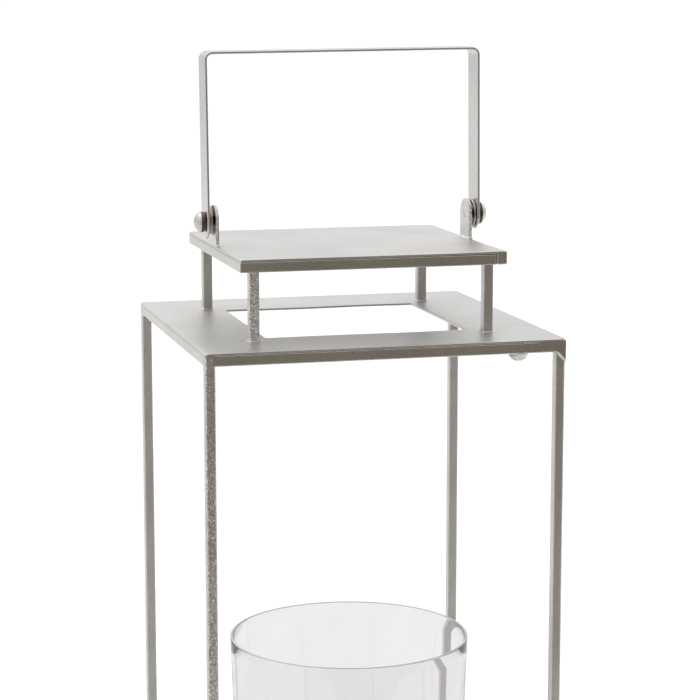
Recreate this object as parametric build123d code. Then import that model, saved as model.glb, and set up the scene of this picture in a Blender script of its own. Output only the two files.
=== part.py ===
from build123d import *
import math
import os

# Candle lantern: an open square frame of iron bar, a sheet top with a square
# opening, a small raised roof, a swinging strap handle and a loose glass.
# Millimetres. The origin is the middle of the footprint, on the surface that
# the lantern stands on. +Z is up, the front faces -Y, the handle turns about X.

# ---- driving dimensions ----
BAR = 6.0                 # side of the square bar that all the frames are made of
BAR_EDGE = 0.5            # rounding along the edges of the bar
SHEET = 1.2               # thickness of the three sheets
SHEET_CORNER = 1.2        # plan rounding of a sheet's corners
SHEET_EDGE = 0.25         # softened edge of sheets, ears and washers

BODY_WIDTH = 200.0        # outside width and depth of the main frame
TOP_FACE = 400.0          # height of the top sheet's upper face
OPENING_X = 114.0         # square opening in the top sheet
OPENING_Y = 108.0

ROOF_X = 150.0            # outside size of the roof
ROOF_Y = 144.0
ROOF_RISE = 45.2          # from the top sheet's upper face to the roof's upper face
ROOF_POST_X = 66.0        # centres of the four short posts under the roof
ROOF_POST_Y = 64.0

BUMPER_R = 5.5            # clear stick-on dome: foot, and stop pad under the top rail
BUMPER_H = 4.3
BUMPER_FLAT_R = 2.2       # flat at the tip of the dome
STOP_PAD_X = 74.0         # place of the pad under the front top rail

PIVOT_RISE = 14.2         # handle's pivot above the roof's upper face
EAR_WIDTH = 17.0          # upright lug that carries the rivet
EAR_THICK = 2.0
STRAP_WIDTH = 18.0        # flat strip of the handle
STRAP_THICK = 1.5
STRAP_OUTER = 79.6        # outer face of a handle leg, from the middle
STRAP_TOP = 154.8         # top of the handle above the top sheet's upper face
STRAP_BEND_R = 4.5        # outside radius of the handle's two bends
STRAP_EDGE = 0.65          # softened edge of the strip

RIVET_R = 2.5             # rivet's shank
HINGE_PLAY = 0.05         # radial play of strap and washers on the shank
HEAD_R = 6.7              # domed rivet head
HEAD_H = 3.8
HEAD_TIP_R = 0.6          # tiny flat at the tip of the head
HEAD_FACE = 82.0          # underside of the rivet head, from the middle
INNER_WASHER_R = 8.0      # washer between ear and strap
INNER_WASHER_THICK = 1.4
INNER_WASHER_FACE = 76.3  # face of that washer nearest the ear
OUTER_WASHER_R = 6.2      # spacer between strap and rivet head
OUTER_WASHER_THICK = 1.6
OUTER_WASHER_FACE = 80.1

GLASS_TOP_R = 69.7        # outside radius of the glass at its rim
GLASS_TAPER = 2.0         # degrees that each side leans in towards the bottom
GLASS_WALL = 2.4
GLASS_BOTTOM = 6.0        # thickness of the glass's closed bottom
GLASS_RIM = 213.8         # height of the rim above the ground
GLASS_X = 4.0             # the loose glass stands a little right of the middle
GLASS_GAP = 0.3           # left free under the glass

# ---- sizes worked out from them ----
HALF = BODY_WIDTH / 2
IN_HALF = HALF - BAR
BASE_BAR_Z = BUMPER_H                       # underside of the base bars
BASE_SHEET_Z = BASE_BAR_Z + BAR             # underside of the base sheet
FLOOR_Z = BASE_SHEET_Z + SHEET              # upper face of the base sheet
TOP_SHEET_Z = TOP_FACE - SHEET              # underside of the top sheet
TOP_BAR_Z = TOP_SHEET_Z - BAR               # underside of the top bars
ROOF_FACE = TOP_FACE + ROOF_RISE
ROOF_SHEET_Z = ROOF_FACE - SHEET
ROOF_BAR_Z = ROOF_SHEET_Z - BAR
PIVOT_Z = ROOF_FACE + PIVOT_RISE
HANDLE_TOP = TOP_FACE + STRAP_TOP
EAR_OUTER = ROOF_X / 2


def block(x0, x1, y0, y1, z0, z1):
    """A plain block between two corners."""
    size = (x1 - x0, y1 - y0, z1 - z0)
    centre = ((x0 + x1) / 2, (y0 + y1) / 2, (z0 + z1) / 2)
    return Pos(*centre) * Box(*size)


def bar(x0, x1, y0, y1, z0, z1):
    """A length of square bar, softly rounded along its long edges."""
    solid = block(x0, x1, y0, y1, z0, z1)
    lengths = {Axis.X: x1 - x0, Axis.Y: y1 - y0, Axis.Z: z1 - z0}
    along = max(lengths, key=lengths.get)
    return fillet(solid.edges().filter_by(along), BAR_EDGE)


def sheet(half_x, half_y, z):
    """A flat sheet with its underside at z, its corners and edges softened."""
    plate = block(-half_x, half_x, -half_y, half_y, z, z + SHEET)
    plate = fillet(plate.edges().filter_by(Axis.Z), SHEET_CORNER)
    upper_edge = plate.edges().group_by(Axis.Z)[-1]
    lower_edge = plate.edges().group_by(Axis.Z)[0]
    return fillet(upper_edge + lower_edge, SHEET_EDGE)


def ring_to_the_right(half_x, half_y, z):
    """Four bars laid end to side: the front one runs to the right corner."""
    in_x = half_x - BAR
    in_y = half_y - BAR
    return {
        "front": bar(-in_x, half_x, -half_y, -in_y, z, z + BAR),
        "right": bar(in_x, half_x, -in_y, half_y, z, z + BAR),
        "back": bar(-half_x, in_x, in_y, half_y, z, z + BAR),
        "left": bar(-half_x, -in_x, -half_y, in_y, z, z + BAR),
    }


def ring_to_the_left(half_x, half_y, z):
    """The same ring the other way round: the front bar runs to the left corner."""
    in_x = half_x - BAR
    in_y = half_y - BAR
    return {
        "front": bar(-half_x, in_x, -half_y, -in_y, z, z + BAR),
        "right": bar(in_x, half_x, -half_y, in_y, z, z + BAR),
        "back": bar(-in_x, half_x, in_y, half_y, z, z + BAR),
        "left": bar(-half_x, -in_x, -in_y, half_y, z, z + BAR),
    }


def dome(base_r, height, flat_r):
    """A ball's cap on the XY plane, pointing up, with a small flat at its tip."""
    centre_depth = (base_r ** 2 - flat_r ** 2 - height ** 2) / (2 * height)
    ball_r = math.hypot(base_r, centre_depth)
    low = math.asin(centre_depth / ball_r)
    high = math.acos(flat_r / ball_r)
    middle = (low + high) / 2
    side = ThreePointArc(
        (base_r, 0),
        (ball_r * math.cos(middle), ball_r * math.sin(middle) - centre_depth),
        (flat_r, height),
    )
    outline = Polyline((flat_r, height), (0, height), (0, 0), (base_r, 0))
    return revolve(make_face(Plane.XZ * Curve([side, outline])), Axis.Z)


def bumper(x, y, z):
    """A clear dome stuck on at height z, pointing down."""
    return Pos(x, y, z) * Rotation(180, 0, 0) * dome(BUMPER_R, BUMPER_H, BUMPER_FLAT_R)


def top_sheet():
    """The top sheet, with the opening that the flame's heat leaves by."""
    plate = sheet(HALF, HALF, TOP_SHEET_Z)
    cut = block(
        -OPENING_X / 2, OPENING_X / 2,
        -OPENING_Y / 2, OPENING_Y / 2,
        TOP_SHEET_Z - 1, TOP_FACE + 1,
    )
    return plate - cut


def corner_posts():
    """Four posts on the base sheet; the front left one runs up to the top sheet."""
    posts = {}
    for across, sx in (("left", -1), ("right", 1)):
        for along, sy in (("front", -1), ("back", 1)):
            x0, x1 = sorted((sx * IN_HALF, sx * HALF))
            y0, y1 = sorted((sy * IN_HALF, sy * HALF))
            runs_up = (across, along) == ("left", "front")
            top = TOP_SHEET_Z if runs_up else TOP_BAR_Z
            posts[f"post_{along}_{across}"] = bar(x0, x1, y0, y1, FLOOR_Z, top)
    return posts


def roof_posts():
    """Four short posts between the top sheet and the roof's frame."""
    posts = {}
    half = BAR / 2
    for across, sx in (("left", -1), ("right", 1)):
        for along, sy in (("front", -1), ("back", 1)):
            x = sx * ROOF_POST_X
            y = sy * ROOF_POST_Y
            posts[f"roof_post_{along}_{across}"] = bar(
                x - half, x + half, y - half, y + half, TOP_FACE, ROOF_BAR_Z)
    return posts


def feet():
    """A clear dome under each corner of the base."""
    domes = {}
    place = HALF - BUMPER_R
    for across, sx in (("left", -1), ("right", 1)):
        for along, sy in (("front", -1), ("back", 1)):
            domes[f"foot_pad_{along}_{across}"] = bumper(
                sx * place, sy * place, BASE_BAR_Z)
    return domes


def pin(x0, x1, radius):
    """A cylinder along X on the handle's axis."""
    length = abs(x1 - x0)
    turned = Rotation(0, 90, 0) * Cylinder(radius, length)
    return Pos((x0 + x1) / 2, 0, PIVOT_Z) * turned


def face_outline(solid, x):
    """The edges of a solid that lie in the plane at x."""
    near = 0.01
    return solid.edges().filter_by(
        lambda edge: abs(edge.bounding_box().min.X - x) < near
        and abs(edge.bounding_box().max.X - x) < near)


def handle_ear(side):
    """An upright lug with a round top, welded to the edge of the roof."""
    x0, x1 = sorted((side * EAR_OUTER, side * (EAR_OUTER - EAR_THICK)))
    half = EAR_WIDTH / 2
    lug = block(x0, x1, -half, half, ROOF_FACE, PIVOT_Z) + pin(x0, x1, half)
    lug = fillet(face_outline(lug, x0) + face_outline(lug, x1), SHEET_EDGE)
    return lug - pin(x0 - 1, x1 + 1, RIVET_R)


def rivet(side):
    """A domed rivet, flush in the ear, that the handle leg turns on."""
    shank = pin(side * (EAR_OUTER - EAR_THICK), side * HEAD_FACE, RIVET_R)
    head = Rotation(0, side * 90, 0) * dome(HEAD_R, HEAD_H, HEAD_TIP_R)
    return shank + Pos(side * HEAD_FACE, 0, PIVOT_Z) * head


def washer(side, face, thick, radius):
    """A flat washer on the rivet's shank."""
    disc = pin(side * face, side * (face + thick), radius)
    disc = fillet(disc.edges().filter_by(GeomType.CIRCLE), SHEET_EDGE)
    bore = pin(side * (face - 1), side * (face + thick + 1), RIVET_R + HINGE_PLAY)
    return disc - bore


def handle_strap():
    """A flat strip bent into a square U, with round ends on the two rivets."""
    inner = STRAP_OUTER - STRAP_THICK
    half = STRAP_WIDTH / 2
    outside = block(-STRAP_OUTER, STRAP_OUTER, -half, half, PIVOT_Z, HANDLE_TOP)
    outside = fillet(
        outside.edges().filter_by(Axis.Y).group_by(Axis.Z)[-1], STRAP_BEND_R)
    inside = block(-inner, inner, -half, half, PIVOT_Z, HANDLE_TOP - STRAP_THICK)
    inside = fillet(
        inside.edges().filter_by(Axis.Y).group_by(Axis.Z)[-1],
        STRAP_BEND_R - STRAP_THICK)
    strap = outside - inside
    for side in (-1, 1):
        strap += pin(side * inner, side * STRAP_OUTER, half)
    long_edges = strap.faces().filter_by(Axis.Y).edges()
    round_ends = strap.edges().filter_by(GeomType.CIRCLE).group_by(Axis.Z)[0]
    strap = fillet(long_edges + round_ends, STRAP_EDGE)
    for side in (-1, 1):
        strap -= pin(side * (inner - 1), side * (STRAP_OUTER + 1), RIVET_R + HINGE_PLAY)
    return strap


def glass_cup():
    """A round, slightly tapered glass with a closed bottom and a soft rim."""
    bottom = FLOOR_Z + GLASS_GAP
    lean = math.tan(math.radians(GLASS_TAPER))
    height = GLASS_RIM - bottom
    foot_r = GLASS_TOP_R - height * lean
    inside_r = foot_r - GLASS_WALL + GLASS_BOTTOM * lean
    profile = Polyline(
        (0, bottom),
        (foot_r, bottom),
        (GLASS_TOP_R, GLASS_RIM),
        (GLASS_TOP_R - GLASS_WALL, GLASS_RIM),
        (inside_r, bottom + GLASS_BOTTOM),
        (0, bottom + GLASS_BOTTOM),
        close=True,
    )
    cup = revolve(make_face(Plane.XZ * profile), Axis.Z)
    rim_edges = cup.edges().group_by(Axis.Z)[-1]
    cup = fillet(rim_edges, GLASS_WALL * 0.42)
    foot_edge = cup.edges().group_by(Axis.Z)[0]
    cup = fillet(foot_edge, GLASS_WALL)
    return Pos(GLASS_X, 0, 0) * cup


def build():
    """Every piece of the lantern by name."""
    pieces = {
        "base_sheet": sheet(HALF, HALF, BASE_SHEET_Z),
        "top_sheet": top_sheet(),
        "roof_sheet": sheet(ROOF_X / 2, ROOF_Y / 2, ROOF_SHEET_Z),
        "stop_pad": bumper(STOP_PAD_X, BUMPER_R - HALF, TOP_BAR_Z),
        "handle_strap": handle_strap(),
        "glass_cup": glass_cup(),
    }
    for place, solid in ring_to_the_right(HALF, HALF, BASE_BAR_Z).items():
        pieces[f"base_rail_{place}"] = solid
    top_ring = ring_to_the_right(HALF, HALF, TOP_BAR_Z)
    top_ring["left"] = bar(-HALF, -IN_HALF, -IN_HALF, IN_HALF, TOP_BAR_Z, TOP_SHEET_Z)
    for place, solid in top_ring.items():
        pieces[f"top_rail_{place}"] = solid
    for place, solid in ring_to_the_left(ROOF_X / 2, ROOF_Y / 2, ROOF_BAR_Z).items():
        pieces[f"roof_rail_{place}"] = solid
    pieces.update(corner_posts())
    pieces.update(roof_posts())
    pieces.update(feet())
    for place, side in (("left", -1), ("right", 1)):
        pieces[f"handle_ear_{place}"] = handle_ear(side)
        pieces[f"rivet_{place}"] = rivet(side)
        pieces[f"inner_washer_{place}"] = washer(
            side, INNER_WASHER_FACE, INNER_WASHER_THICK, INNER_WASHER_R)
        pieces[f"outer_washer_{place}"] = washer(
            side, OUTER_WASHER_FACE, OUTER_WASHER_THICK, OUTER_WASHER_R)
    return pieces


os.makedirs("parts", exist_ok=True)
for name, solid in build().items():
    export_step(solid, f"parts/{name}.step")
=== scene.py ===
import math

import bmesh
import bpy
from mathutils import Matrix, Vector, noise


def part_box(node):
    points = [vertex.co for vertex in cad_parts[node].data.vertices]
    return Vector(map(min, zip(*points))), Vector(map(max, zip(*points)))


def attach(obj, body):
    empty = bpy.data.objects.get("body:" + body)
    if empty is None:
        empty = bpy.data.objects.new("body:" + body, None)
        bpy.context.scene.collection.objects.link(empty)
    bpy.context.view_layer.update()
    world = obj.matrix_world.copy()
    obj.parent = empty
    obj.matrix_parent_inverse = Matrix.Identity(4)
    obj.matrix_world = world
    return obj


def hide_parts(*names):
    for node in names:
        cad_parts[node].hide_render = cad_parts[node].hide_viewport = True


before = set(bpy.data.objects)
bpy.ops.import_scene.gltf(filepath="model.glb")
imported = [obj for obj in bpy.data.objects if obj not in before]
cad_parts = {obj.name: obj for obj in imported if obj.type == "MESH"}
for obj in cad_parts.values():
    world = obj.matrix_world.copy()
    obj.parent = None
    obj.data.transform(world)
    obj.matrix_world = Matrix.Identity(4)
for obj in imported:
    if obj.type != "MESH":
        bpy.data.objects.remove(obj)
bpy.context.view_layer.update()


# ---- Square bar: the posts and the rails ----
# Hot-rolled 6 mm square iron, sawn to length and welded end to side. The rolls leave
# soft edges and the bar is never quite straight or flat, so each length is swept along
# a slightly bowed line and its skin is made a little uneven.
MM = 0.001  # in metres, as the scene is; the sizes are in millimetres
RAIL_EDGE = 0.75  # radius of a rail's long edges
RAIL_END = 0.9  # width of the bevel on its ends
RAIL_SHY = 0.09  # room left inside the frame's own solid
POST_EDGE = 0.9
WORN_POST_EDGE = 1.3
POST_END = 0.4
POST_SHY = 0.1
FRONT_RIGHT_SET_BACK = (-0.1, 1.1, 0)  # that post is welded on a little out of line
BAR_STEP = 1.6
BAR_BOW = 0.2  # how far the middle of a long bar wanders
BAR_BOW_LENGTH = 200
BAR_BOW_WANDER = 120
BAR_SKIN = 0.05
BAR_SKIN_WANDER = 1.7
FLAKE = 0.45
PEEL = 1.1
CLOUD = 35
CLOUD_MIDDLE = (0.35, 0.65)
NOISE_MIDDLE = (0.3, 0.7)  # where nearly all of a noise's values lie
SPRAY_DULLING = (-0.05, 0.06)  # how far the roughness strays from its middle
THIN_SPOT = "#6f6b66"


def add(tree, kind, sockets=None, **settings):
    """Adds one node. A socket is given a value or another node's output."""
    made = tree.nodes.new(kind)
    for name, value in settings.items():
        setattr(made, name, value)
    for key, value in (sockets or {}).items():
        if isinstance(value, bpy.types.NodeSocket):
            tree.links.new(value, made.inputs[key])
        else:
            made.inputs[key].default_value = value
    return made


def srgb(hex_text):
    """A hex colour as the linear RGBA that shaders use."""
    channels = [int(hex_text[i:i + 2], 16) / 255 for i in (1, 3, 5)]
    linear = [c / 12.92 if c <= 0.04045 else ((c + 0.055) / 1.055) ** 2.4 for c in channels]
    return (*linear, 1.0)


def new_material(name):
    """A new material, its node tree and its empty Principled shader."""
    material = bpy.data.materials.new(name)
    material.use_nodes = True
    tree = material.node_tree
    shader = next(n for n in tree.nodes if n.type == "BSDF_PRINCIPLED")
    return material, tree, shader


def satin_nickel_spray(
        name, flake_tilt, peel_depth, dull, speckle=0.1, torn_edge=0.0,
        tone=("#dbdad8", "#e3e2e0")):
    """A sprayed nickel-silver coat over mill-finished iron.

    The spray dries as bright flakes, each lying a little askew, over a fine orange
    peel and a faint clouding of the rolled iron below. Flakes and peel are drawn
    several times coarser than real spray, so that they still show at arm's length.
    speckle, from 0 to 1, is how dark the thinly covered spots between flakes are. dull
    is the middle roughness. torn_edge tilts the flakes further on the faces that look
    along Y, which shears leave torn.
    """
    material, tree, shader = new_material(name)
    here = add(tree, "ShaderNodeTexCoord").outputs
    peel = add(tree, "ShaderNodeTexNoise", {
        "Vector": here["Object"], "Scale": 1 / (PEEL * MM), "Detail": 2.0})
    flakes = add(tree, "ShaderNodeTexVoronoi", {
        "Vector": here["Object"], "Scale": 1 / (FLAKE * MM)})
    clouds = add(tree, "ShaderNodeTexNoise", {
        "Vector": here["Object"], "Scale": 1 / (CLOUD * MM), "Detail": 3.0})
    cloud_tone = add(tree, "ShaderNodeMapRange", {
        "Value": clouds.outputs["Fac"],
        "From Min": CLOUD_MIDDLE[0], "From Max": CLOUD_MIDDLE[1]})
    colour = add(tree, "ShaderNodeMix", {
        "Factor": cloud_tone.outputs["Result"], "A": srgb(tone[0]), "B": srgb(tone[1])},
        data_type="RGBA")
    single = add(tree, "ShaderNodeSeparateXYZ", {0: flakes.outputs["Color"]})
    thin = add(tree, "ShaderNodeMath", {
        0: single.outputs["X"], 1: speckle}, operation="MULTIPLY")
    covered = add(tree, "ShaderNodeMix", {
        "Factor": thin.outputs[0], "A": colour.outputs["Result"], "B": srgb(THIN_SPOT)},
        data_type="RGBA")
    tree.links.new(covered.outputs["Result"], shader.inputs["Base Color"])
    rough = add(tree, "ShaderNodeMapRange", {
        "Value": peel.outputs["Fac"],
        "From Min": NOISE_MIDDLE[0], "From Max": NOISE_MIDDLE[1],
        "To Min": dull + SPRAY_DULLING[0], "To Max": dull + SPRAY_DULLING[1]})
    tree.links.new(rough.outputs["Result"], shader.inputs["Roughness"])
    facing = add(tree, "ShaderNodeSeparateXYZ", {0: here["Normal"]})
    side_on = add(tree, "ShaderNodeMath", {0: facing.outputs["Y"]}, operation="ABSOLUTE")
    tilt = add(tree, "ShaderNodeMath", {
        0: side_on.outputs[0], 1: torn_edge, 2: flake_tilt}, operation="MULTIPLY_ADD")
    askew = add(tree, "ShaderNodeVectorMath", {
        0: flakes.outputs["Color"], 1: (0.5, 0.5, 0.5)}, operation="SUBTRACT")
    lean = add(tree, "ShaderNodeVectorMath", {
        0: askew.outputs[0], "Scale": tilt.outputs[0]}, operation="SCALE")
    bump = add(tree, "ShaderNodeBump", {
        "Height": peel.outputs["Fac"], "Strength": 1.0, "Distance": peel_depth * MM})
    leaning = add(tree, "ShaderNodeVectorMath", {
        0: bump.outputs["Normal"], 1: lean.outputs[0]}, operation="ADD")
    skin = add(tree, "ShaderNodeVectorMath", {0: leaning.outputs[0]}, operation="NORMALIZE")
    tree.links.new(skin.outputs[0], shader.inputs["Normal"])
    shader.inputs["Metallic"].default_value = 1.0
    return material


# On sound bar the coat is even and satin. Over mill scale it glitters in coarse
# specks, on the back posts it went on dry and dull, and one short post has loose flakes.
# The rails were rubbed down first, so they are the smoothest and mirror the most.
post_coat = satin_nickel_spray(
    "sprayed_nickel_on_rolled_post", flake_tilt=0.12, peel_depth=0.02, dull=0.42,
    speckle=0.15, tone=("#d4d3d2", "#dfdedd"))
grainy_coat = satin_nickel_spray(
    "sprayed_nickel_on_scaly_post", flake_tilt=0.55, peel_depth=0.04, dull=0.34,
    speckle=0.55, tone=("#e4e3e1", "#ecebe9"))
# Painted reflection: besides being duller, the back posts' coat is a tone lighter, for the
# brighter room they mirror.
dry_coat_and_painted_sheen = satin_nickel_spray(
    "dry_sprayed_nickel_on_back_post_painted_lighter", flake_tilt=0.2, peel_depth=0.03, dull=0.5,
    speckle=0.15, tone=("#d9d8d7", "#e2e1e0"))
flaky_coat = satin_nickel_spray(
    "flaky_sprayed_nickel_on_short_post", flake_tilt=1.0, peel_depth=0.05, dull=0.3,
    speckle=0.45, tone=("#ecebe9", "#f2f1ef"))
rail_coat = satin_nickel_spray(
    "sprayed_nickel_on_rolled_rail", flake_tilt=0.03, peel_depth=0.01, dull=0.3,
    tone=("#cecdca", "#d6d5d2"))


def box_mm(node):
    """A frame piece's lowest and highest corners in millimetres."""
    low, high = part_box(node)
    return low / MM, high / MM


def new_tree(name, inputs):
    """A node tree that makes a shape, with its named inputs."""
    tree = bpy.data.node_groups.new(name, "GeometryNodeTree")
    tree.interface.new_socket("Geometry", in_out="INPUT", socket_type="NodeSocketGeometry")
    for label, kind in inputs.items():
        tree.interface.new_socket(label, in_out="INPUT", socket_type=f"NodeSocket{kind}")
    tree.interface.new_socket("Geometry", in_out="OUTPUT", socket_type="NodeSocketGeometry")
    return tree, add(tree, "NodeGroupInput").outputs


def close_tree(tree, geometry, material):
    """Ends a tree in real, smooth-shaded mesh with its material."""
    real = add(tree, "GeometryNodeRealizeInstances", {"Geometry": geometry})
    smooth = add(tree, "GeometryNodeSetShadeSmooth", {"Geometry": real.outputs[0]})
    painted = add(tree, "GeometryNodeSetMaterial", {
        "Geometry": smooth.outputs[0], "Material": material})
    add(tree, "NodeGroupOutput", {0: painted.outputs[0]})


def scattered(tree, seed, step):
    """A smooth random vector field about zero, one wander every step millimetres."""
    field = add(tree, "ShaderNodeTexNoise", {
        "W": seed, "Scale": 1 / step, "Detail": 1.0}, noise_dimensions="4D")
    return add(tree, "ShaderNodeVectorMath", {
        0: field.outputs["Color"], 1: (0.5, 0.5, 0.5)}, operation="SUBTRACT").outputs[0]


def scaled(tree, vector, factor):
    """A vector times a number."""
    return add(tree, "ShaderNodeVectorMath", {
        0: vector, "Scale": factor}, operation="SCALE").outputs[0]


def make_bar_tree():
    """Square bar along X from the origin, in millimetres."""
    tree, given = new_tree("square_bar", {
        "Length": "Float", "Side": "Float", "Edge": "Float", "Step": "Float",
        "Bow": "Float", "Skin": "Float", "Seed": "Float", "Material": "Material"})
    far_end = add(tree, "ShaderNodeCombineXYZ", {"X": given["Length"]})
    line = add(tree, "GeometryNodeCurvePrimitiveLine", {"End": far_end.outputs[0]})
    fine = add(tree, "GeometryNodeResampleCurve", {
        "Curve": line.outputs[0], "Length": given["Step"]}, mode="LENGTH")
    along = add(tree, "GeometryNodeSplineParameter").outputs["Factor"]
    half_turn = add(tree, "ShaderNodeMath", {0: along, 1: math.pi}, operation="MULTIPLY")
    free_middle = add(tree, "ShaderNodeMath", {0: half_turn.outputs[0]}, operation="SINE")
    bow = add(tree, "ShaderNodeMath", {
        0: free_middle.outputs[0], 1: given["Bow"]}, operation="MULTIPLY")
    drift = scattered(tree, given["Seed"], BAR_BOW_WANDER)
    bowed = add(tree, "GeometryNodeSetPosition", {
        "Geometry": fine.outputs[0], "Offset": scaled(tree, drift, bow.outputs[0])})
    upright = add(tree, "GeometryNodeSetCurveNormal", {"Curve": bowed.outputs[0]}, mode="Z_UP")
    square = add(tree, "GeometryNodeCurvePrimitiveQuadrilateral", {
        "Width": given["Side"], "Height": given["Side"]})
    soft = add(tree, "GeometryNodeFilletCurve", {
        "Curve": square.outputs[0], "Radius": given["Edge"], "Count": 3}, mode="POLY")
    dense = add(tree, "GeometryNodeSubdivideCurve", {"Curve": soft.outputs[0], "Cuts": 1})
    swept = add(tree, "GeometryNodeCurveToMesh", {
        "Curve": upright.outputs[0], "Profile Curve": dense.outputs[0], "Fill Caps": True})
    dents = scattered(tree, given["Seed"], BAR_SKIN_WANDER)
    skinned = add(tree, "GeometryNodeSetPosition", {
        "Geometry": swept.outputs[0], "Offset": scaled(tree, dents, given["Skin"])})
    close_tree(tree, skinned.outputs[0], given["Material"])
    return tree


bar_tree = make_bar_tree()


def in_scene(name, data):
    """A new object, linked into the scene."""
    made = bpy.data.objects.new(name, data)
    bpy.context.scene.collection.objects.link(made)
    return made


def soften(made, width, degrees):
    """Bevels the edges that turn by more than an angle."""
    soft = made.modifiers.new("edges", "BEVEL")
    soft.width = width
    soft.segments = 3
    soft.limit_method = "ANGLE"
    soft.angle_limit = math.radians(degrees)


def finish_mesh(made):
    """Evens the shading and turns a piece's live modifiers into a plain mesh."""
    even = made.modifiers.new("even", "WEIGHTED_NORMAL")
    even.keep_sharp = True
    bpy.context.view_layer.update()
    shape = made.evaluated_get(bpy.context.evaluated_depsgraph_get())
    result = bpy.data.meshes.new_from_object(shape)
    made.modifiers.clear()
    made.data = result
    result.name = made.name


def grown(name, tree, values, source=None, soft_ends=0.0):
    """Runs a tree on a source mesh and gives the result as a plain mesh object."""
    made = in_scene(name, source or bpy.data.meshes.new(name))
    grow = made.modifiers.new("grow", "NODES")
    grow.node_group = tree
    for item in tree.interface.items_tree:
        if item.in_out == "INPUT" and item.name in values:
            grow[item.identifier] = values[item.name]
    if soft_ends:
        soften(made, soft_ends, degrees=60)
    finish_mesh(made)
    return made


def place_bar(node, seed, coat, edge, shy, end, nudge=(0, 0, 0)):
    """One length of bar in the room that the frame keeps for it, shy of it all round."""
    low, high = box_mm(node)
    size = high - low
    axis = max(range(3), key=lambda i: size[i])
    bar = grown(f"{node}_bar", bar_tree, {
        "Length": size[axis] - 2 * shy, "Side": min(size) - 2 * shy, "Edge": edge,
        "Step": BAR_STEP, "Bow": BAR_BOW * size[axis] / BAR_BOW_LENGTH, "Skin": BAR_SKIN,
        "Seed": float(seed), "Material": coat}, soft_ends=end)
    turn = {
        0: Matrix.Identity(4),
        1: Matrix.Rotation(math.pi / 2, 4, "Z"),
        2: Matrix.Rotation(-math.pi / 2, 4, "Y"),
    }[axis]
    start = (low + high) / 2
    start[axis] = low[axis] + shy
    start += Vector(nudge)
    bar.data.transform(Matrix.Scale(MM, 4) @ Matrix.Translation(start) @ turn)
    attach(bar, "frame")
    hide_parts(node)


posts = sorted(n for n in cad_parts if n.startswith(("post_", "roof_post_")))
rails = sorted(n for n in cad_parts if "_rail_" in n)
# The last figure of a bar's seed tells posts from rails, so no two bars are alike.
for number, node in enumerate(posts):
    coat = dry_coat_and_painted_sheen if "back" in node else post_coat
    if node.endswith("front_left"):
        coat = flaky_coat if node.startswith("roof_") else grainy_coat
    edge = WORN_POST_EDGE if node.startswith("post_front") else POST_EDGE
    nudge = FRONT_RIGHT_SET_BACK if node == "post_front_right" else (0, 0, 0)
    place_bar(node, 10 * number + 3, coat, edge, POST_SHY, POST_END, nudge)
for number, node in enumerate(rails):
    place_bar(node, 10 * number + 7, rail_coat, RAIL_EDGE, RAIL_SHY, RAIL_END)


# ---- Sheets: base, top and roof ----
# Guillotined 1.2 mm mild steel sheet with filed corners; the top one has a square
# opening cut in it. Welding round the edge pulls the thin sheet into a slight bow,
# which shows in what it mirrors.
OPENING = (114, 108)
SHEET_SHY = 0.1
SHEET_GRID = 4.0
SHEET_EDGE = 0.25
SHEET_BOW = 0.25
BOW_WANDER = 55
HELD_WITHIN = 30  # the bow fades out this near the welded edges
SPRUNG = 0.35  # the roof's front right corner stands up, over a seam left open
SPRUNG_WITHIN = 30
# Flat sheet takes the spray best: fine, even and satin, with hardly a speck.
sheet_coat = satin_nickel_spray(
    "sprayed_nickel_on_sheet", flake_tilt=0.012, peel_depth=0.004, dull=0.4,
    speckle=0.03, tone=("#d6d5d3", "#dedddb"))


def grid_lines(low, high, step, cuts):
    """Even grid lines from low to high that also pass through the cuts.

    A line that would leave a sliver beside a cut, under half a step wide, is dropped.
    """
    count = round((high - low) / step)
    lines = [low + (high - low) * i / count for i in range(count + 1)]
    near = step * 0.45
    kept = [v for v in lines if all(abs(v - c) > near for c in cuts)]
    return sorted(kept + list(cuts))


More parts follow.
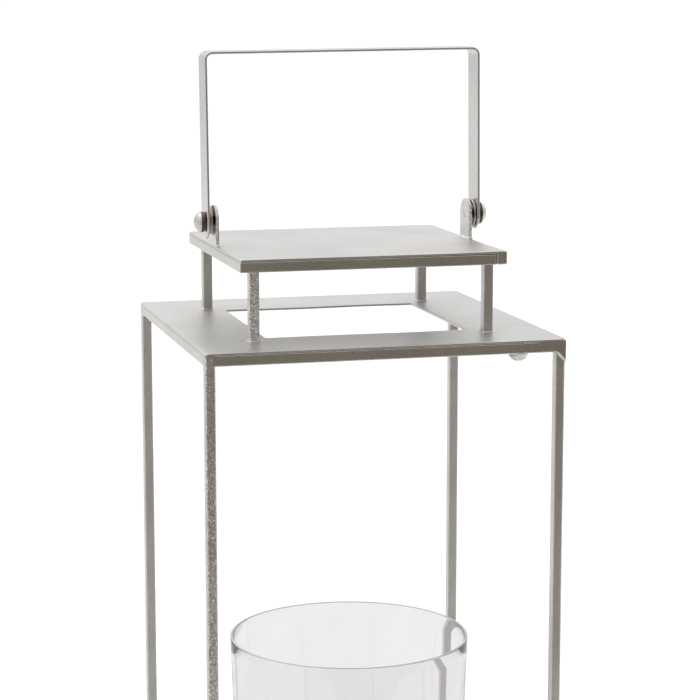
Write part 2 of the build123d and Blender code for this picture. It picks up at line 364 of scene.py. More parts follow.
def make_sheet(node, seed, opening=None, corner=1.6, sprung=0.0):
    """A sheet filling a frame piece's box, with an optional (x, y) opening.

    corner is the radius of its corners, and sprung lifts the front right one.
    """
    low, high = box_mm(node)
    low += Vector((SHEET_SHY, SHEET_SHY, 0))
    high -= Vector((SHEET_SHY, SHEET_SHY, 0))
    cut_x = (-opening[0] / 2, opening[0] / 2) if opening else ()
    cut_y = (-opening[1] / 2, opening[1] / 2) if opening else ()
    xs = grid_lines(low.x, high.x, SHEET_GRID, cut_x)
    ys = grid_lines(low.y, high.y, SHEET_GRID, cut_y)
    work = bmesh.new()
    grid = [[work.verts.new((x, y, 0)) for y in ys] for x in xs]
    for i in range(len(xs) - 1):
        for j in range(len(ys) - 1):
            mid_x = (xs[i] + xs[i + 1]) / 2
            mid_y = (ys[j] + ys[j + 1]) / 2
            if opening and abs(mid_x) < cut_x[1] and abs(mid_y) < cut_y[1]:
                continue
            work.faces.new((grid[i][j], grid[i + 1][j], grid[i + 1][j + 1], grid[i][j + 1]))
    loose = [v for v in work.verts if not v.link_faces]
    bmesh.ops.delete(work, geom=loose, context="VERTS")
    corners = [v for v in work.verts if len(v.link_faces) == 1]
    bmesh.ops.bevel(
        work, geom=corners, offset=corner, segments=4, profile=0.5, affect="VERTICES")
    for v in work.verts:
        held = min(high.x - abs(v.co.x), high.y - abs(v.co.y)) / HELD_WITHIN
        lift = noise.noise(Vector((v.co.x / BOW_WANDER, v.co.y / BOW_WANDER, seed)))
        from_corner = math.hypot(high.x - v.co.x, low.y - v.co.y)
        v.co.z = SHEET_BOW * lift * min(1.0, max(0.0, held))
        v.co.z += sprung * max(0.0, 1 - from_corner / SPRUNG_WITHIN)
    mesh = bpy.data.meshes.new(f"{node}_plate")
    work.to_mesh(mesh)
    work.free()
    plate = in_scene(mesh.name, mesh)
    thick = plate.modifiers.new("thickness", "SOLIDIFY")
    thick.thickness = high.z - low.z
    thick.offset = 1.0
    soften(plate, SHEET_EDGE, degrees=50)
    finish_mesh(plate)
    plate.data.shade_smooth()
    plate.data.materials.append(sheet_coat)
    plate.data.transform(Matrix.Scale(MM, 4) @ Matrix.Translation((0, 0, low.z)))
    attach(plate, "frame")
    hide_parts(node)


make_sheet("base_sheet", seed=1.5)
make_sheet("top_sheet", seed=4.2, opening=OPENING, corner=2.4)
make_sheet("roof_sheet", seed=7.7, sprung=SPRUNG)


# ---- Weld beads ----
# Short runs of weld metal at the ends of the short posts, at the feet of the ears and
# inside the frame's corners. They are lumpy, because each run is a row of frozen drops,
# and the spray coat covers them like the rest.
WELD_GRID = 0.16
DROP_SPACING = 0.42  # of the bead's width, as are the two radii
DROP_LEAST = 0.36
DROP_MOST = 0.56
POST_BEAD = 1.5
CORNER_BEAD = 1.6
EAR_BEAD = 2.2
POST_RUN_INSET = 0.6
CORNER_RUN_INSET = 1
EAR_SIDE_INSET = 0.8
EAR_END_INSET = 0.5
EAR_TOE_INSET = 0.7
EAR_END_RISE = 0.5
EAR_TOE_FRONT = -0.5
EAR_TOE_BACK = 0.9
# Weld metal freezes smooth, so the spray lies wet and bright on it.
weld_coat = satin_nickel_spray(
    "sprayed_nickel_on_weld", flake_tilt=0.12, peel_depth=0.03, dull=0.22)


def make_weld_tree():
    """Turns each edge of a wire mesh into a bead of fused drops, in millimetres."""
    tree, given = new_tree("weld_bead", {
        "Width": "Float", "Seed": "Int", "Grid": "Float", "Material": "Material"})
    runs = add(tree, "GeometryNodeMeshToCurve", {"Mesh": given["Geometry"]})
    spacing = add(tree, "ShaderNodeMath", {
        0: given["Width"], 1: DROP_SPACING}, operation="MULTIPLY")
    drops = add(tree, "GeometryNodeResampleCurve", {
        "Curve": runs.outputs[0], "Length": spacing.outputs[0]}, mode="LENGTH")
    small = add(tree, "ShaderNodeMath", {
        0: given["Width"], 1: DROP_LEAST}, operation="MULTIPLY")
    large = add(tree, "ShaderNodeMath", {
        0: given["Width"], 1: DROP_MOST}, operation="MULTIPLY")
    size = add(tree, "FunctionNodeRandomValue", {
        2: small.outputs[0], 3: large.outputs[0], "Seed": given["Seed"]})
    ball = add(tree, "GeometryNodeMeshIcoSphere", {"Radius": 1.0, "Subdivisions": 3})
    beads = add(tree, "GeometryNodeInstanceOnPoints", {
        "Points": drops.outputs[0], "Instance": ball.outputs["Mesh"],
        "Scale": size.outputs[1]})
    real = add(tree, "GeometryNodeRealizeInstances", {"Geometry": beads.outputs[0]})
    body = add(tree, "GeometryNodeMeshToVolume", {
        "Mesh": real.outputs[0], "Voxel Size": given["Grid"], "Interior Band Width": 1.0},
        resolution_mode="VOXEL_SIZE")
    fused = add(tree, "GeometryNodeVolumeToMesh", {
        "Volume": body.outputs[0], "Threshold": 0.1, "Adaptivity": 0.05})
    close_tree(tree, fused.outputs[0], given["Material"])
    return tree


weld_tree = make_weld_tree()


def weld(name, runs, width, seed):
    """Lays beads along runs, a list of (start, end) points in millimetres."""
    wire = bpy.data.meshes.new(name)
    points = [p for run in runs for p in run]
    wire.from_pydata(points, [(2 * i, 2 * i + 1) for i in range(len(runs))], [])
    bead = grown(name, weld_tree, {
        "Width": width, "Seed": seed, "Grid": WELD_GRID, "Material": weld_coat}, source=wire)
    bead.data.transform(Matrix.Scale(MM, 4))
    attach(bead, "frame")


def run_along_x(low, high, inset, y, z):
    """A run between a box's left and right sides, short of both by inset."""
    return (low.x + inset, y, z), (high.x - inset, y, z)


def run_along_y(low, high, inset, x, z):
    """A run between a box's front and back, short of both by inset."""
    return (x, low.y + inset, z), (x, high.y - inset, z)


def foot_runs(node, z):
    """A run along each side of a post where it meets the sheet at height z."""
    low, high = box_mm(node)
    ends = [run_along_x(low, high, POST_RUN_INSET, y, z) for y in (low.y, high.y)]
    sides = [run_along_y(low, high, POST_RUN_INSET, x, z) for x in (low.x, high.x)]
    return ends + sides


top_z = box_mm("top_sheet")[1].z
roof_z = box_mm("roof_sheet")[1].z
short_runs = []
for node in posts:
    if node.startswith("roof_post_"):
        short_runs += foot_runs(node, top_z)
        short_runs += foot_runs(node, box_mm(node)[1].z)
weld("weld_beads_short_posts", short_runs, POST_BEAD, seed=11)

ear_runs = []
for side in ("left", "right"):
    low, high = box_mm(f"handle_ear_{side}")
    inner_x = high.x if side == "left" else low.x
    ear_runs.append(run_along_y(low, high, EAR_SIDE_INSET, inner_x, roof_z))
    for y, toe in ((low.y, EAR_TOE_FRONT), (high.y, EAR_TOE_BACK)):
        ear_runs.append(run_along_x(low, high, EAR_END_INSET, y, roof_z + EAR_END_RISE))
        ear_runs.append(run_along_x(low, high, EAR_TOE_INSET, y + toe, roof_z))
weld("weld_beads_ears", ear_runs, EAR_BEAD, seed=23)

corner_runs = []
base_z = box_mm("base_sheet")[1].z
under = box_mm("top_rail_front")[0].z
for node in posts:
    if node.startswith("roof_post_"):
        continue
    low, high = box_mm(node)
    inner_x = high.x if low.x < 0 else low.x
    inner_y = high.y if low.y < 0 else low.y
    for z in (under, base_z):
        if low.y > 0 or z < under:
            corner_runs.append(run_along_y(low, high, CORNER_RUN_INSET, inner_x, z))
        corner_runs.append(run_along_x(low, high, CORNER_RUN_INSET, inner_y, z))
weld("weld_beads_corners", corner_runs, CORNER_BEAD, seed=37)


# ---- Ground corners ----
# At the top frame's corners, and at one of the roof's, the welder filled the seam
# between sheet and bar and ground it flush, so the edge there is one rounded face. At
# the front right corner a tongue of weld runs down over the post and ends in a slope.
DENT = 0.16
DENT_WANDER = 2.5
GROUND_GRID = 0.3
GROUND_SOFTNESS = 6
FILL_TOP = 0.3  # how far below the sheet's upper face a fill starts
FILL_THICK = 2.0
SUNK = 0.35  # how far under the face a fill's thin end lies
WHOLE_EDGE = 7.1  # down over the sheet and the rail
SEAM_ONLY = 2.6
BAR_SIDE = 6.0
POST_SEAM_FLUSH = 0.6
POST_SEAM_END = 2.5
POST_SEAM_TOP = 1.8
POST_SEAM_FOOT = 0.2
ROOF_FILL_WIDE = 5.8
ROOF_FILL_DEEP = 3
ROOF_FILL_DROP = 7.0
ROOF_FILL_SHY = 0.1
ROOF_FILL_PROUD = 0.25
TONGUE_WIDTH = 4.4
TONGUE_TOP = 3
TONGUE_SIDE = 0.1
TONGUE_DROP = 4.3
TONGUE_SPREAD = 2.4
TONGUE_SLOPE = 1.4


def make_ground_tree():
    """Fuses closed lumps into one soft-edged body, in millimetres."""
    tree, given = new_tree("ground_weld", {
        "Grid": "Float", "Softness": "Int", "Seed": "Float", "Material": "Material"})
    body = add(tree, "GeometryNodeMeshToVolume", {
        "Mesh": given["Geometry"], "Voxel Size": given["Grid"],
        "Interior Band Width": 0.5}, resolution_mode="VOXEL_SIZE")
    skin = add(tree, "GeometryNodeVolumeToMesh", {
        "Volume": body.outputs[0], "Threshold": 0.05})
    place = add(tree, "GeometryNodeInputPosition").outputs[0]
    blurred = add(tree, "GeometryNodeBlurAttribute", {
        "Iterations": given["Softness"]}, data_type="FLOAT_VECTOR")
    value_in = next(i for i in blurred.inputs if i.name == "Value" and i.type == "VECTOR")
    tree.links.new(place, value_in)
    value_out = next(o for o in blurred.outputs if o.type == "VECTOR")
    soft = add(tree, "GeometryNodeSetPosition", {
        "Geometry": skin.outputs[0], "Position": value_out})
    dents = scattered(tree, given["Seed"], DENT_WANDER)
    uneven = add(tree, "GeometryNodeSetPosition", {
        "Geometry": soft.outputs[0], "Offset": scaled(tree, dents, DENT)})
    close_tree(tree, uneven.outputs[0], given["Material"])
    return tree


def hull(work, points):
    """Adds the closed convex lump around some points to a mesh."""
    corners = [work.verts.new(p) for p in points]
    bmesh.ops.convex_hull(work, input=corners)


outer = box_mm("top_sheet")[1].x - DENT


def filled_seam(work, side_x, side_y, along_x, reach, fade, drop):
    """A run of ground weld from a corner along one edge, fading into the bar.

    side_x and side_y are -1 or 1 and name the corner. The run is flush at the
    corner, sinks below the face over its last stretch, and hangs down by drop.
    """
    points = []
    for distance, depth in ((0, 0), (reach - fade, 0), (reach, SUNK)):
        for inward in (depth, FILL_THICK):
            for z in (top_z - FILL_TOP, top_z - drop):
                a = (outer - distance) * (side_x if along_x else side_y)
                b = (outer - inward) * (side_y if along_x else side_x)
                points.append((a, b, z) if along_x else (b, a, z))
    hull(work, points)


def filled_joint(work, side_x, side_y):
    """Fills the joint of a corner and the post below it, sinking into the post."""
    points = []
    for z, depth in ((under + BAR_SIDE / 2, 0), (under - BAR_SIDE / 2, SUNK)):
        for x in (depth, BAR_SIDE - depth):
            for y in (depth, BAR_SIDE - depth):
                points.append(((outer - x) * side_x, (outer - y) * side_y, z))
    hull(work, points)


def filled_post_seam(work, post_side):
    """Fills the seam beside the front left post, which shows as a gap otherwise."""
    plan = (
        (post_side - FILL_THICK, -outer), (post_side + POST_SEAM_FLUSH, -outer),
        (post_side + POST_SEAM_END, SUNK - outer), (post_side - FILL_THICK, FILL_THICK - outer),
        (post_side + POST_SEAM_END, FILL_THICK - outer))
    heights = (under + POST_SEAM_FOOT, top_z - POST_SEAM_TOP)
    hull(work, [(x, y, z) for x, y in plan for z in heights])


def filled_roof_corner(work, corner):
    """A square patch of weld at the roof's front right corner, a little proud."""
    hull(work, [
        (x, y, z)
        for x in (corner.x - ROOF_FILL_WIDE, corner.x - ROOF_FILL_SHY)
        for y in (ROOF_FILL_SHY - corner.y, ROOF_FILL_DEEP - corner.y)
        for z in (corner.z - ROOF_FILL_DROP, corner.z + ROOF_FILL_PROUD)])


def weld_tongue(work):
    """Weld that ran down over the front right post, narrow in front, wider behind."""
    left = outer - TONGUE_WIDTH
    top = under + TONGUE_TOP
    side = under + TONGUE_SIDE
    tip = under - TONGUE_DROP
    front = [(left, top), (outer, top), (outer, tip), (left, side)]
    back = [(left - TONGUE_SPREAD, top), (outer, top), (outer, tip - TONGUE_SPREAD),
            (left - TONGUE_SPREAD, side)]
    points = [(x, -outer, z) for x, z in front]
    hull(work, points + [(x, TONGUE_SLOPE - outer, z) for x, z in back])


# Each seam's corner (side_x, side_y), its direction (along_x), reach, fade and drop.
SEAMS = (
    (1, -1, True, 24, 10, WHOLE_EDGE), (1, -1, False, 10, 4, WHOLE_EDGE),
    (-1, -1, True, 8, 3, SEAM_ONLY), (-1, -1, False, 7, 3, SEAM_ONLY),
    (1, 1, True, 9, 4, WHOLE_EDGE), (1, 1, False, 9, 4, WHOLE_EDGE),
    (-1, 1, True, 10, 5, WHOLE_EDGE), (-1, 1, False, 8, 4, WHOLE_EDGE))
work = bmesh.new()
for seam in SEAMS:
    filled_seam(work, *seam)
filled_post_seam(work, box_mm("post_front_left")[1].x)
filled_roof_corner(work, box_mm("roof_sheet")[1])
filled_joint(work, -1, 1)
filled_joint(work, 1, 1)
weld_tongue(work)
ground_mesh = bpy.data.meshes.new("weld_ground_corners")
work.to_mesh(ground_mesh)
work.free()
ground = grown("weld_ground_corners", make_ground_tree(), {
    "Grid": GROUND_GRID, "Softness": GROUND_SOFTNESS, "Seed": 5.0, "Material": rail_coat},
    source=ground_mesh)
ground.data.transform(Matrix.Scale(MM, 4))
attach(ground, "frame")


# ---- Ears ----
# Two lugs cut from 2 mm sheet with round tops, welded upright on the roof's edges.
# The frame's own solids have the right shape, so they only get their finish, which
# is rough on the sheared edges, and painted shade on the outer face round each washer.
# Painted shade: a dark disc on each lug's outer face round the washer, for the shadow in the
# gap.
WASHER_GAP_SHADE = "#2c2824"
SHADE_MARGIN = 0.9
SHADE_FADE = 0.94  # share of the patch's radius where it starts to fade
OUTSIDE = 0.03  # along X times the normal's X, which only the outer faces pass
ear_coat = satin_nickel_spray(
    "sprayed_nickel_on_lug_painted_shade", flake_tilt=0.03, peel_depth=0.01, dull=0.3, torn_edge=1.2)


def painted_shade_behind_washer(material, axis_z, radius):
    """Paints shade on the lug's outer face round the washer, for the shadowed gap between them.
    """
    tree = material.node_tree
    shader = next(n for n in tree.nodes if n.type == "BSDF_PRINCIPLED")
    here = add(tree, "ShaderNodeTexCoord").outputs
    flat = add(tree, "ShaderNodeVectorMath", {
        0: here["Object"], 1: (0, 1, 1)}, operation="MULTIPLY")
    away = add(tree, "ShaderNodeVectorMath", {
        0: flat.outputs[0], 1: (0, 0, axis_z)}, operation="DISTANCE")
    near = add(tree, "ShaderNodeMapRange", {
        "Value": away.outputs["Value"], "From Min": radius, "From Max": radius * SHADE_FADE})
    along = add(tree, "ShaderNodeVectorMath", {
        0: here["Object"], 1: here["Normal"]}, operation="MULTIPLY")
    outwards = add(tree, "ShaderNodeSeparateXYZ", {0: along.outputs[0]})
    outside = add(tree, "ShaderNodeMath", {
        0: outwards.outputs["X"], 1: OUTSIDE}, operation="GREATER_THAN")
    painted_shade = add(tree, "ShaderNodeMath", {
        0: near.outputs[0], 1: outside.outputs[0]}, operation="MULTIPLY")
    sprayed = shader.inputs["Base Color"].links[0].from_socket
    # Mixes the painted shade colour into the spray coat.
    colour = add(tree, "ShaderNodeMix", {
        "Factor": painted_shade.outputs[0], "A": sprayed, "B": srgb(WASHER_GAP_SHADE)}, data_type="RGBA")
    tree.links.new(colour.outputs["Result"], shader.inputs["Base Color"])


low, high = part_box("inner_washer_left")
# Paints the shade disc into the lugs' coat, round the washers' axis.
painted_shade_behind_washer(ear_coat, (low.z + high.z) / 2, (high.z - low.z) / 2 + SHADE_MARGIN * MM)
for side in ("left", "right"):
    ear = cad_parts[f"handle_ear_{side}"]
    ear.data.materials.clear()
    ear.data.materials.append(ear_coat)


# ---- Rivets and washers ----
# Domed steel rivets with a larger washer inside the handle leg and a small spacer
# outside it. They are turned parts, zinc bright and a little dulled by handling.
SMEAR = 3
PIT = 0.5
PIT_DEPTH = 0.015
STEEL_DULLING = (-0.05, 0.07)
SHANK_R = 2.5
BORE_R = 2.55
WASHER_EDGE = 0.3
HEAD_THICK = 3.8
HEAD_RIM = ((0.3, 0), (0.06, 0.12))  # inwards from the head's radius, and up
DOME_START = 4  # degrees above the rim
PEENED_LESS = {"left": 0.6, "right": 0.1}  # the left head is smaller and sits low
PEENED_ASIDE = {"left": -1.0, "right": 0.0}
LEAST = 0.01  # slack in telling the head and the shank's end from the rest


def plated_steel(name, dark, light, dull):
    """Zinc plate on turned or stamped steel, clouded by handling and fine pits."""
    material, tree, shader = new_material(name)
    place = add(tree, "ShaderNodeTexCoord").outputs["Object"]
    smears = add(tree, "ShaderNodeTexNoise", {
        "Vector": place, "Scale": 1 / (SMEAR * MM), "Detail": 5.0, "Roughness": 0.6})
    pits = add(tree, "ShaderNodeTexNoise", {
        "Vector": place, "Scale": 1 / (PIT * MM), "Detail": 2.0})
    colour = add(tree, "ShaderNodeMix", {
        "Factor": smears.outputs["Fac"], "A": srgb(dark), "B": srgb(light)},
        data_type="RGBA")
    tree.links.new(colour.outputs["Result"], shader.inputs["Base Color"])
    rough = add(tree, "ShaderNodeMapRange", {
        "Value": smears.outputs["Fac"],
        "From Min": NOISE_MIDDLE[0], "From Max": NOISE_MIDDLE[1],
        "To Min": dull + STEEL_DULLING[0], "To Max": dull + STEEL_DULLING[1]})
    tree.links.new(rough.outputs["Result"], shader.inputs["Roughness"])
    bump = add(tree, "ShaderNodeBump", {
        "Height": pits.outputs["Fac"], "Strength": 1.0, "Distance": PIT_DEPTH * MM})
    tree.links.new(bump.outputs["Normal"], shader.inputs["Normal"])
    shader.inputs["Metallic"].default_value = 1.0
    return material


# The rivets keep their zinc and the washers have yellowed. The spacers, in the gap
# behind the heads, are painted dark brown for the shade that lies there.
rivet_steel = plated_steel("zinc_plated_rivet", "#b9b7b2", "#dddbd8", dull=0.3)
washer_steel = {
    "inner": plated_steel("yellowed_zinc_washer", "#a3988a", "#d6d0c4", dull=0.3),
    # Painted shade: the spacers' dark brown stands in for the shadow behind the rivet heads.
    "outer": plated_steel("zinc_spacer_painted_shade", "#5a4f46", "#8a7c6f", dull=0.4)}


def turned(name, profile, material, steps=96):
    """A shape turned about Z from (radius, height) points, in millimetres."""
    work = bmesh.new()
    ring = [work.verts.new((r, 0, z)) for r, z in profile]
    edges = [work.edges.new(pair) for pair in zip(ring, ring[1:])]
    bmesh.ops.spin(
        work, geom=ring + edges, cent=(0, 0, 0), axis=(0, 0, 1),
        angle=2 * math.pi, steps=steps, use_merge=True, use_duplicate=False)
    bmesh.ops.remove_doubles(work, verts=work.verts, dist=0.0005)
    bmesh.ops.recalc_face_normals(work, faces=work.faces)
    mesh = bpy.data.meshes.new(name)
    work.to_mesh(mesh)
    work.free()
    mesh.materials.append(material)
    mesh.shade_smooth()
    return in_scene(name, mesh)


def arc(centre, radius, start, end, steps):
    """Points on a circle in the (radius, height) plane, angles in degrees."""
    angles = [start + (end - start) * i / steps for i in range(steps + 1)]
    return [(centre[0] + radius * math.cos(math.radians(a)),
             centre[1] + radius * math.sin(math.radians(a))) for a in angles]


def rounded_disc(inner, outer, thick, edge):
    """Profile of a washer with soft outer edges, closed on itself."""
    return [
        (inner, 0), (outer - edge, 0),
        *arc((outer - edge, edge), edge, -90, 0, 5)[1:],
        *arc((outer - edge, thick - edge), edge, 0, 90, 5),
        (inner, thick), (inner, 0)]


def along_handle_axis(piece, node):
    """Points a piece made along Z outwards on the handle's axis, in a node's place."""
    low, high = box_mm(node)
    outwards = 1 if low.x > 0 else -1
    start_x = low.x if outwards > 0 else high.x
    centre = Vector((start_x, (low.y + high.y) / 2, (low.z + high.z) / 2))
    turn = Matrix.Rotation(outwards * math.pi / 2, 4, "Y")
    piece.data.transform(Matrix.Scale(MM, 4) @ Matrix.Translation(centre) @ turn)
    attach(piece, "frame")
    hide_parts(node)


for side in ("left", "right"):
    low, high = box_mm(f"rivet_{side}")
    length = high.x - low.x
    head_r = (high.z - low.z) / 2 - PEENED_LESS[side]
    shank = length - HEAD_THICK
    ball_r = (head_r ** 2 + HEAD_THICK ** 2) / (2 * HEAD_THICK)
    low_angle = math.degrees(math.asin((ball_r - HEAD_THICK) / ball_r))
    dome = arc((0, length - ball_r), ball_r, low_angle + DOME_START, 90, 22)
    rim = [(head_r - inwards, shank + up) for inwards, up in HEAD_RIM]
    profile = [(0, 0), (SHANK_R, 0), (SHANK_R, shank), *rim, *dome]
    profile[-1] = (0, profile[-1][1])
    rivet = turned(f"rivet_{side}_turned", profile, rivet_steel)
    rivet.data.materials.append(ear_coat)
    for v in rivet.data.vertices:
        if v.co.z > shank + LEAST or v.co.xy.length > SHANK_R + LEAST:
            v.co.x += PEENED_ASIDE[side]
    for face in rivet.data.polygons:
        if face.center.z < LEAST:
            face.material_index = 1
    along_handle_axis(rivet, f"rivet_{side}")
    for place, aside in (("inner", 0.0), ("outer", PEENED_ASIDE[side])):
        node = f"{place}_washer_{side}"
        low, high = box_mm(node)
        washer_r = (high.z - low.z) / 2 - abs(aside) / 2
        ring = rounded_disc(BORE_R + abs(aside), washer_r, high.x - low.x, WASHER_EDGE)
        washer = turned(f"{node}_turned", ring, washer_steel[place])
        washer.data.transform(Matrix.Translation((aside, 0, 0)))
        along_handle_axis(washer, node)


# ---- Handle ----
# One strip of 18 x 1.5 mm flat iron, its ends rounded and drilled, bent into a
# square U over a former. It is loose on its rivets, so it leans and sits a touch low.
HANDLE_LEAN = 0.55  # degrees
HANDLE_DROP = 0.75
SAME_POINT = 0.002
# Bright drawn strip under a thin coat: the smoothest and least speckled of all.
handle_coat = satin_nickel_spray(
    "sprayed_nickel_on_strip", flake_tilt=0.01, peel_depth=0.006, dull=0.29,
    speckle=0.04, torn_edge=0.04, tone=("#d5d4d3", "#dcdbda"))
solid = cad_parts["handle_strap"]
work = bmesh.new()
work.from_mesh(solid.data)
bmesh.ops.remove_doubles(work, verts=work.verts, dist=SAME_POINT * MM)
strap_mesh = bpy.data.meshes.new("handle_strip")
work.to_mesh(strap_mesh)
work.free()
low, high = box_mm("rivet_left")
pivot = Vector((0, 0, (low.z + high.z) / 2)) * MM
lean = Matrix.Rotation(math.radians(-HANDLE_LEAN), 4, "Y")
drop = Matrix.Translation((0, 0, -HANDLE_DROP * MM))
strap_mesh.transform(Matrix.Translation(pivot) @ drop @ lean @ Matrix.Translation(-pivot))
strap_mesh.materials.clear()
strap_mesh.materials.append(handle_coat)
strap_mesh.shade_smooth()
strap_mesh.set_sharp_from_angle(angle=math.radians(40))
strap = in_scene("handle_strip", strap_mesh)
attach(strap, "handle")
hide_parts("handle_strap")


# ---- Clear pads ----
# Stick-on domes of clear polyurethane: four feet, and one stuck under the front top
# rail. They are cast in a mould, so they are glossy, with a flat where they rest.
PAD_FLAT_R = 2.2
PAD_SKIRT = 0.25
PAD_HAZE = 2


def clear_polyurethane(name):
    """Cast clear polyurethane: glossy, faintly grey, soft inside."""
    material, tree, shader = new_material(name)
    place = add(tree, "ShaderNodeTexCoord").outputs["Object"]
    haze = add(tree, "ShaderNodeTexNoise", {
        "Vector": place, "Scale": 1 / (PAD_HAZE * MM), "Detail": 3.0})
    colour = add(tree, "ShaderNodeMix", {
        "Factor": haze.outputs["Fac"], "A": srgb("#f4f5f5"), "B": srgb("#fdfdfd")},
        data_type="RGBA")
    tree.links.new(colour.outputs["Result"], shader.inputs["Base Color"])
    rough = add(tree, "ShaderNodeMapRange", {
        "Value": haze.outputs["Fac"], "To Min": 0.04, "To Max": 0.12})
    tree.links.new(rough.outputs["Result"], shader.inputs["Roughness"])
    shader.inputs["Transmission Weight"].default_value = 0.92
    shader.inputs["IOR"].default_value = 1.49
    return material


pad_rubber = clear_polyurethane("clear_polyurethane")
for node in sorted(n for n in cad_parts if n.startswith("foot_pad_") or n == "stop_pad"):
    low, high = box_mm(node)
    pad_r = (high.x - low.x) / 2
    pad_h = high.z - low.z
    depth = (pad_r ** 2 - PAD_FLAT_R ** 2 - pad_h ** 2) / (2 * pad_h)
    ball_r = math.hypot(pad_r, depth)
    first = math.degrees(math.asin(depth / ball_r))
    last = math.degrees(math.acos(PAD_FLAT_R / ball_r))
    curve = arc((0, -depth), ball_r, first, last, 20)
    profile = [(0, 0), (pad_r - PAD_SKIRT, 0), *curve, (0, pad_h)]
    pad = turned(f"{node}_dome", profile, pad_rubber, steps=64)
    centre = Vector(((low.x + high.x) / 2, (low.y + high.y) / 2, high.z))
    turn = Matrix.Rotation(math.pi, 4, "X")
    pad.data.transform(Matrix.Scale(MM, 4) @ Matrix.Translation(centre) @ turn)
    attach(pad, "frame")
    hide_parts(node)


# ---- Glass ----
# A blown soda-lime glass cup with a cut and fire-polished rim and a thick bottom,
# narrowing slightly towards its foot. It stands loose on the base sheet.
GLASS_WALL = 2.4
GLASS_RIM_WALL = 1.6
GLASS_BOTTOM = 6.0
GLASS_TAPER = 2.0  # degrees
GLASS_HEEL = 3  # radius round the outside of the foot
GLASS_FLOOR_EDGE = 4  # radius round the inside of the floor
GLASS_PUNT = 0.6  # how far the middle of the bottom is off the sheet
PUNT_EDGE = (8, 5)  # where it starts and ends, in from the foot's radius
RIPPLE = 30
RIPPLE_DEPTH = 0.08
GLASS_BODY = "#a8b98a"
LIP_SHARE = 0.6


def soda_lime_glass(name, tint, clearness, rough):
    """Soda-lime glass: a trace of green-grey, and ripples too slight to see."""
    material, tree, shader = new_material(name)
    place = add(tree, "ShaderNodeTexCoord").outputs["Object"]
    ripple = add(tree, "ShaderNodeTexNoise", {
        "Vector": place, "Scale": 1 / (RIPPLE * MM), "Detail": 1.0})
    colour = add(tree, "ShaderNodeMix", {
        "Factor": ripple.outputs["Fac"], "A": srgb(tint[0]), "B": srgb(tint[1])},
        data_type="RGBA")
    tree.links.new(colour.outputs["Result"], shader.inputs["Base Color"])
    bump = add(tree, "ShaderNodeBump", {
        "Height": ripple.outputs["Fac"], "Strength": 1.0, "Distance": RIPPLE_DEPTH * MM})
    tree.links.new(bump.outputs["Normal"], shader.inputs["Normal"])
    shader.inputs["Roughness"].default_value = rough
    shader.inputs["Transmission Weight"].default_value = clearness
    shader.inputs["IOR"].default_value = 1.5
    body = add(tree, "ShaderNodeVolumeAbsorption", {"Density": 5.0})
    body.inputs["Color"].default_value = srgb(GLASS_BODY)
    output = next(n for n in tree.nodes if n.type == "OUTPUT_MATERIAL")
    tree.links.new(body.outputs[0], output.inputs["Volume"])
    return material


# The wall is clear and smooth. The flame left the lip a little milky and green.
glass_clear = soda_lime_glass(
    "soda_lime_glass", ("#f4f3f5", "#f7f6f8"), clearness=1.0, rough=0.0)
glass_lip = soda_lime_glass(
    "fire_polished_glass_lip", ("#e6e9df", "#f0f2ea"), clearness=0.2, rough=0.25)
low, high = box_mm("glass_cup")
lean = math.tan(math.radians(GLASS_TAPER))
rim_r = (high.x - low.x) / 2
height = high.z - low.z
lip = GLASS_RIM_WALL / 2
foot_r = rim_r - (height - lip) * lean
wall_steps = 24
outer_wall = [
    (foot_r + (rim_r - foot_r) * i / wall_steps,
     GLASS_HEEL + (height - lip - GLASS_HEEL) * i / wall_steps)
    for i in range(wall_steps + 1)]
floor_top = GLASS_BOTTOM + GLASS_FLOOR_EDGE
floor_r = foot_r - GLASS_WALL + floor_top * lean
inner_wall = [
    (rim_r - GLASS_RIM_WALL + (floor_r - rim_r + GLASS_RIM_WALL) * i / wall_steps,
     height - lip + (floor_top - height + lip) * i / wall_steps)
    for i in range(wall_steps + 1)]
profile = [
    (0, GLASS_PUNT), (foot_r - PUNT_EDGE[0], GLASS_PUNT), (foot_r - PUNT_EDGE[1], 0),
    *arc((foot_r - GLASS_HEEL, GLASS_HEEL), GLASS_HEEL, -90, 0, 8),
    *outer_wall[1:],
    *arc((rim_r - lip, height - lip), lip, 0, 180, 14)[1:-1],
    *inner_wall,
    *arc((floor_r - GLASS_FLOOR_EDGE, floor_top), GLASS_FLOOR_EDGE, 0, -90, 8)[1:],
    (0, GLASS_BOTTOM)]
glass = turned("glass_cup_blown", profile, glass_clear, steps=192)
glass.data.materials.append(glass_lip)
for face in glass.data.polygons:
    if face.center.z > height - lip * LIP_SHARE:
        face.material_index = 1
centre = Vector(((low.x + high.x) / 2, (low.y + high.y) / 2, low.z))
glass.data.transform(Matrix.Scale(MM, 4) @ Matrix.Translation(centre))
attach(glass, "glass")
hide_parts("glass_cup")


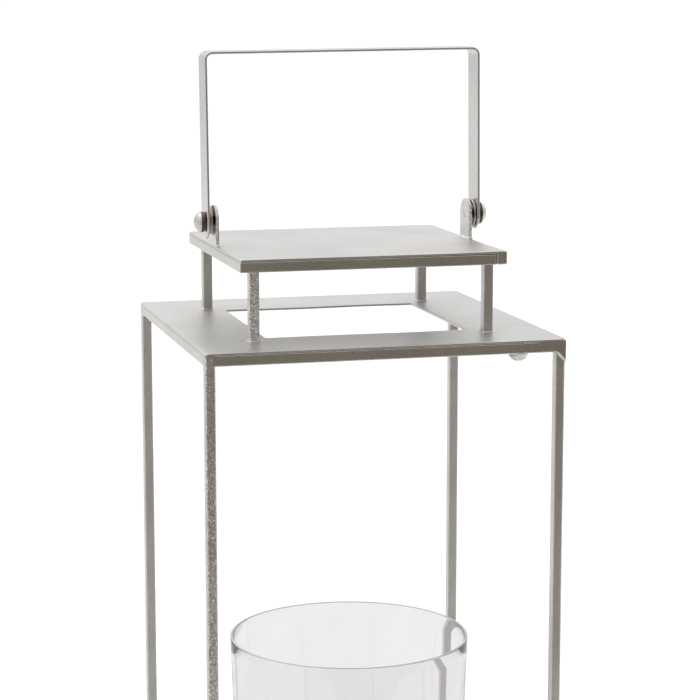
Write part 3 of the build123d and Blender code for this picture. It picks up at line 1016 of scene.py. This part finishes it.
# ---- Studio ----
# A pale sweep under and behind the lantern, white light from above, behind and the
# left, and a darker room in front of it, which the front faces mirror.
FLOOR_FRONT = -0.5
FLOOR_BACK = 6.0
FLOOR_SIDE = 5.0
FLOOR_BURN = 0.2  # how far the paper is over-exposed where it is seen straight on
WHITE = "#ffffff"
LOW_WALL_TONE = "#dddcdb"
LOW_WALL = (0.45, 0.1)  # heights, as parts of the sky's, where it begins and is full
DARK_TONE = "#80776c"
DARK_SIDE = (0.22, -0.96, -0.12)
DARK_SPREAD = (80, 28)  # degrees off its middle where the dark side begins and is full
ROOM_STRENGTH = 1.05
LAMP_STRENGTH = 0.45
LAMP_SPREAD = 50
LAMP_WAY = (0.45, -0.35, -1.0)
floor_mesh = bpy.data.meshes.new("floor")
floor_mesh.from_pydata(
    [(-FLOOR_SIDE, FLOOR_FRONT, 0), (FLOOR_SIDE, FLOOR_FRONT, 0),
     (FLOOR_SIDE, FLOOR_BACK, 0), (-FLOOR_SIDE, FLOOR_BACK, 0)], [], [(0, 1, 2, 3)])
floor = in_scene("floor", floor_mesh)
paper, paper_tree, paper_shader = new_material("white_paper_sweep")
paper_shader.inputs["Base Color"].default_value = srgb("#f6f6f5")
paper_shader.inputs["Roughness"].default_value = 0.9
paper_shader.inputs["Specular IOR Level"].default_value = 0.2
straight_on = add(paper_tree, "ShaderNodeLightPath").outputs["Is Camera Ray"]
burnt_out = add(paper_tree, "ShaderNodeMath", {
    0: straight_on, 1: FLOOR_BURN}, operation="MULTIPLY")
paper_tree.links.new(burnt_out.outputs[0], paper_shader.inputs["Emission Strength"])
paper_shader.inputs["Emission Color"].default_value = srgb(WHITE)
floor_mesh.materials.append(paper)

world = bpy.data.worlds.new("studio")
world.use_nodes = True
bpy.context.scene.world = world
room = world.node_tree
background = next(n for n in room.nodes if n.type == "BACKGROUND")
way = add(room, "ShaderNodeTexCoord").outputs["Generated"]
parts = add(room, "ShaderNodeSeparateXYZ", {0: way}).outputs
towards = add(room, "ShaderNodeVectorMath", {
    0: way, 1: Vector(DARK_SIDE).normalized()}, operation="DOT_PRODUCT")
wall_edge, wall_full = [math.cos(math.radians(degrees)) for degrees in DARK_SPREAD]
front_wall = add(room, "ShaderNodeMapRange", {
    "Value": towards.outputs["Value"], "From Min": wall_edge, "From Max": wall_full},
    interpolation_type="SMOOTHSTEP").outputs[0]
ray = add(room, "ShaderNodeLightPath").outputs
not_through_glass = add(room, "ShaderNodeMath", {
    0: 1.0, 1: ray["Is Transmission Ray"]}, operation="SUBTRACT")
mirrored_wall = add(room, "ShaderNodeMath", {
    0: front_wall, 1: not_through_glass.outputs[0]}, operation="MULTIPLY")
low_wall = add(room, "ShaderNodeMapRange", {
    "Value": parts["Z"], "From Min": LOW_WALL[0], "From Max": LOW_WALL[1]},
    interpolation_type="SMOOTHSTEP").outputs[0]
walls = add(room, "ShaderNodeMix", {
    "Factor": low_wall, "A": srgb(WHITE), "B": srgb(LOW_WALL_TONE)}, data_type="RGBA")
lit_room = add(room, "ShaderNodeMix", {
    "Factor": mirrored_wall.outputs[0], "A": walls.outputs["Result"], "B": srgb(DARK_TONE)},
    data_type="RGBA")
light = add(room, "ShaderNodeMix", {
    "Factor": ray["Is Camera Ray"], "A": lit_room.outputs["Result"], "B": srgb(WHITE)},
    data_type="RGBA")
room.links.new(light.outputs["Result"], background.inputs["Color"])
background.inputs["Strength"].default_value = ROOM_STRENGTH

lamp = bpy.data.lights.new("overhead_softbox", "SUN")
lamp.energy = LAMP_STRENGTH
lamp.angle = math.radians(LAMP_SPREAD)
overhead = in_scene("overhead_softbox", lamp)
overhead.rotation_euler = Vector(LAMP_WAY).to_track_quat("-Z", "Y").to_euler()


# ---- Camera ----
# A long lens in front of the lantern and a little to its left, higher than its top
# sheet and looking slightly down at it.
STANDING_AT = (-0.3258, -1.2508)
ABOVE_TOP = 0.1935
TURNED_RIGHT = 14.8
LOOKING_DOWN = 9.28
LENS = 117.2
SENSOR = 36.0
camera = in_scene("camera", bpy.data.cameras.new("camera"))
low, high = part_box("top_sheet")
camera.location = Vector((*STANDING_AT, high.z + ABOVE_TOP))
camera.rotation_euler = (math.radians(90 - LOOKING_DOWN), 0, math.radians(-TURNED_RIGHT))
camera.data.sensor_width = SENSOR
camera.data.lens = LENS
bpy.context.scene.camera = camera
bpy.context.scene.view_settings.view_transform = "Standard"
